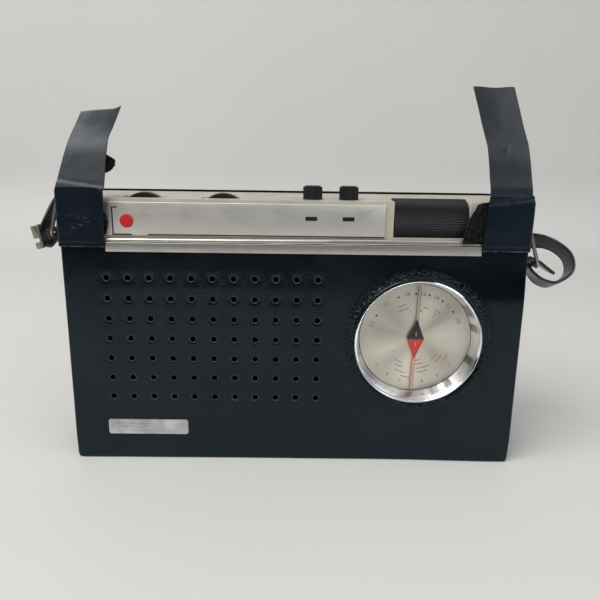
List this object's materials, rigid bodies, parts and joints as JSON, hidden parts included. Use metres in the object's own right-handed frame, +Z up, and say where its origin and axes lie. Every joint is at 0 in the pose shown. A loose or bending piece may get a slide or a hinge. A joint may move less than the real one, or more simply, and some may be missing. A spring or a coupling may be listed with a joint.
{
  "type": "transistor pocket radio",
  "caption": "Small transistor radio in a leather slip case with a round dial, speaker holes, top controls, snap straps and a carry strap.",
  "frame": {"origin": "bottom centre of the leather case, on the face it stands on", "axes": "+X to the right seen from the front, front face towards -Y, +Z up"},
  "size_m": [0.2133, 0.0518, 0.1441],
  "materials": {
    "case_leather": "dark navy leather, fine grain, gloss worn",
    "band_leather": "smooth navy leather with scuffs",
    "strap_leather": "smooth grey-black leather, matt lining",
    "suede": "black napped suede lining",
    "carry_leather": "grey-black polished strap leather",
    "trim_metal": "brushed, slightly tarnished",
    "panel_metal": "satin, horizontally brushed",
    "badge_metal": "worn bright plating",
    "ring_metal": "dull nickel plating",
    "clip_metal": "off-white nickel",
    "snap_metal": "blackened press stud",
    "bezel_chrome": "bright chrome",
    "dial_aluminium": "spun satin aluminium",
    "lens_clear": "clear moulded acrylic",
    "cabinet_cream": "yellowed cream polystyrene",
    "control_black": "black ribbed plastic",
    "pointer_black_paint": "black print",
    "pointer_red_paint": "red print",
    "pointer_clear": "clear acrylic bar with fine lines",
    "gang_metal": "plain stamped",
    "screw_steel": "zinc plated",
    "bracket_brass": "stamped brass",
    "spring_steel": "drawn wire",
    "phenolic": "brown laminate",
    "pulley_nylon": "natural nylon",
    "cord_fabric": "waxed dial cord",
    "speaker_steel": "grey painted steel",
    "paper_cone": "black pressed paper",
    "magnet": "dark sintered magnet",
    "cloth": "black speaker cloth",
    "ferrite": "dark ferrite",
    "coil_copper": "enamelled copper wire",
    "can_steel": "tinned cans",
    "capacitor_sleeve": "blue sleeve",
    "battery_case": "plain dark jacket",
    "clip_plastic": "black snap-contact strip"
  },
  "bodies": {
    "case": {"case_front_panel": "case_leather", "case_gusset": "case_leather", "case_back_panel": "case_leather", "case_front_trim": "trim_metal", "badge_plate": "badge_metal", "corner_band_left": "band_leather", "corner_band_right": "band_leather", "inner_ply_right": "suede", "ring_rivets": "ring_metal", "cabinet_front": "cabinet_cream", "cabinet_back": "cabinet_cream", "cabinet_screws": "screw_steel", "cabinet_ledge": "trim_metal", "control_panel": "panel_metal", "dial_bezel": "bezel_chrome", "dial_lens": "lens_clear", "dial_plate": "dial_aluminium", "gang_frame": "gang_metal", "drive_brackets": "bracket_brass", "drive_cord": "cord_fabric", "potentiometers": "gang_metal", "long_wave_spring": "spring_steel", "medium_wave_spring": "spring_steel", "switch_block": "phenolic", "speaker_frame": "speaker_steel", "speaker_cone": "paper_cone", "speaker_magnet": "magnet", "grille_cloth": "cloth", "circuit_board": "phenolic", "ferrite_rod": "ferrite", "antenna_coils": "coil_copper", "if_cans": "can_steel", "capacitors": "capacitor_sleeve", "battery": "battery_case", "battery_clip": "clip_plastic"},
    "front_strap_left_body": {"front_strap_left": "strap_leather", "snap_socket_left": "snap_metal", "inner_ply_left": "suede"},
    "front_strap_right_body": {"front_strap_right": "strap_leather", "snap_socket_right": "snap_metal"},
    "rear_tab_left_body": {"rear_tab_left": "band_leather", "snap_stud_left": "snap_metal"},
    "rear_tab_right_body": {"rear_tab_right": "band_leather", "snap_stud_right": "snap_metal"},
    "carry_strap_body": {"ring_tabs": "carry_leather", "d_rings": "ring_metal", "carry_strap": "carry_leather", "strap_clip": "clip_metal"},
    "pointer_body": {"pointer_black": "pointer_black_paint", "pointer_red": "pointer_red_paint", "pointer_bar": "pointer_clear", "gang_rotor": "gang_metal"},
    "tuning_drum_body": {"tuning_drum": "control_black"},
    "guide_front_body": {"guide_pulley_front": "pulley_nylon"},
    "guide_corner_body": {"guide_pulley_corner": "pulley_nylon"},
    "guide_top_body": {"guide_pulley_top": "pulley_nylon"},
    "volume_wheel_body": {"volume_wheel": "control_black"},
    "tone_wheel_body": {"tone_wheel": "control_black"},
    "long_wave_body": {"long_wave_button": "control_black"},
    "medium_wave_body": {"medium_wave_button": "control_black"}
  },
  "joints": [
    {"name": "left_strap_fold", "type": "hinge", "parent": "case", "child": "front_strap_left_body", "pos_m": [-0.077, -0.02127, 0.1064], "axis": [1, 0, 0], "range_deg": [-75, 0]},
    {"name": "right_strap_fold", "type": "hinge", "parent": "case", "child": "front_strap_right_body", "pos_m": [0.077, -0.02127, 0.1064], "axis": [1, 0, 0], "range_deg": [-75, 0]},
    {"name": "left_tab_fold", "type": "hinge", "parent": "case", "child": "rear_tab_left_body", "pos_m": [-0.076, 0.02225, 0.1048], "axis": [1, 0, 0], "range_deg": [0, 270]},
    {"name": "right_tab_fold", "type": "hinge", "parent": "case", "child": "rear_tab_right_body", "pos_m": [0.076, 0.02225, 0.1048], "axis": [1, 0, 0], "range_deg": [0, 270]},
    {"name": "carry_strap_swing", "type": "hinge", "parent": "case", "child": "carry_strap_body", "pos_m": [0, -0.005, 0.0976], "axis": [1, 0, 0], "range_deg": [0, 130]},
    {"name": "tuning_turn", "type": "hinge", "parent": "case", "child": "tuning_drum_body", "pos_m": [0.05, -0.0106, 0.0954], "axis": [1, 0, 0], "range_deg": [-300, 300]},
    {"name": "pointer_turn", "type": "hinge", "parent": "case", "child": "pointer_body", "pos_m": [0.0476, -0.01, 0.0497], "axis": [0, 1, 0], "range_deg": [-90, 90]},
    {"name": "guide_front_turn", "type": "hinge", "parent": "case", "child": "guide_front_body", "pos_m": [0.031, -0.0135, 0.084], "axis": [1, 0, 0], "range_deg": [-648, 648]},
    {"name": "guide_corner_turn", "type": "hinge", "parent": "case", "child": "guide_corner_body", "pos_m": [0.0335, -0.0077, 0.0815], "axis": [0, 0, 1], "range_deg": [-648, 648]},
    {"name": "guide_top_turn", "type": "hinge", "parent": "case", "child": "guide_top_body", "pos_m": [0.0631, -0.0052, 0.079], "axis": [0, 1, 0], "range_deg": [-648, 648]},
    {"name": "volume_turn", "type": "hinge", "parent": "case", "child": "volume_wheel_body", "pos_m": [-0.0569, -0.0105, 0.0955], "axis": [0, 1, 0], "range_deg": [-135, 135]},
    {"name": "tone_turn", "type": "hinge", "parent": "case", "child": "tone_wheel_body", "pos_m": [-0.0274, -0.0105, 0.0955], "axis": [0, 1, 0], "range_deg": [-135, 135]},
    {"name": "long_wave_press", "type": "slide", "parent": "case", "child": "long_wave_body", "axis": [0, 0, -1], "range_m": [0, 0.0025], "stiffness_N_per_m": 300, "springref_m": -0.001, "deforming": ["long_wave_spring"]},
    {"name": "medium_wave_press", "type": "slide", "parent": "case", "child": "medium_wave_body", "axis": [0, 0, -1], "range_m": [0, 0.0025], "stiffness_N_per_m": 300, "springref_m": -0.001, "deforming": ["medium_wave_spring"]}
  ],
  "couplings": [
    {"joint": "pointer_turn", "follows": "tuning_turn", "ratio": 0.3},
    {"joint": "guide_front_turn", "follows": "tuning_turn", "ratio": 2.16},
    {"joint": "guide_corner_turn", "follows": "tuning_turn", "ratio": -2.16},
    {"joint": "guide_top_turn", "follows": "tuning_turn", "ratio": 2.16}
  ]
}
